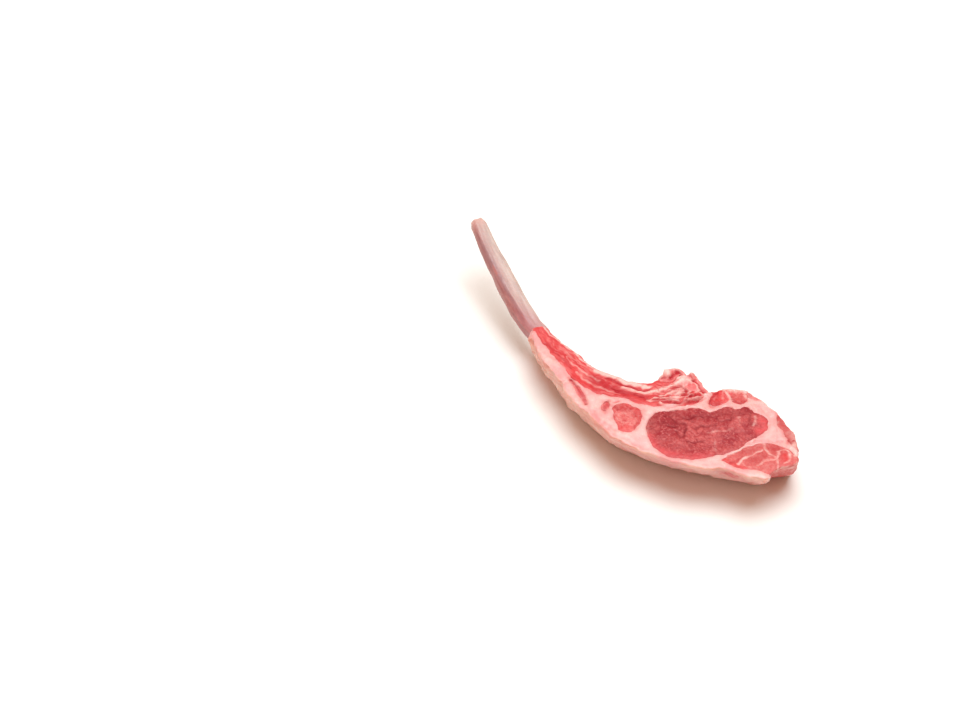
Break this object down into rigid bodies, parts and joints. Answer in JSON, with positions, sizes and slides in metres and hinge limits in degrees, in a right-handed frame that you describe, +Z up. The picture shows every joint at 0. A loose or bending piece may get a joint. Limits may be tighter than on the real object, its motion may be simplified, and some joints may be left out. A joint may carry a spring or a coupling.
{
  "type": "raw goat chop",
  "caption": "Raw frenched rib chop lying flat: a bare curved rib bone, and a slice of lean muscles set in pale fat.",
  "frame": {"origin": "on the surface the chop lies on, under the middle of its bounding box", "axes": "+X along the chop, from the bare end of the bone to the back of the meat; +Y toward the hollow side of the rib; +Z up, through the thickness of the slice"},
  "size_m": [0.1602, 0.053, 0.0243],
  "materials": {
    "bone": "scraped raw bone, greyish pink, moist satin",
    "fat": "raw fat, pale pink, soft satin",
    "eye_lean": "raw lean of the eye, dusky red, moist",
    "lean": "raw lean, bright red with pale seams, moist",
    "pale_lean": "raw lean mixed with fat, pink, moist"
  },
  "bodies": {
    "root": {"eye_muscle": "eye_lean", "back_muscle": "lean", "rim_muscle": "lean", "upper_muscle_1": "lean", "upper_muscle_2": "lean", "upper_muscle_3": "pale_lean", "side_muscle": "lean", "side_muscle_tip": "pale_lean", "tail_streak": "pale_lean", "backbone_knob": "pale_lean", "backbone_flap": "pale_lean", "rib_meat": "lean", "fat": "fat", "rib_bone": "bone"}
  },
  "joints": []
}
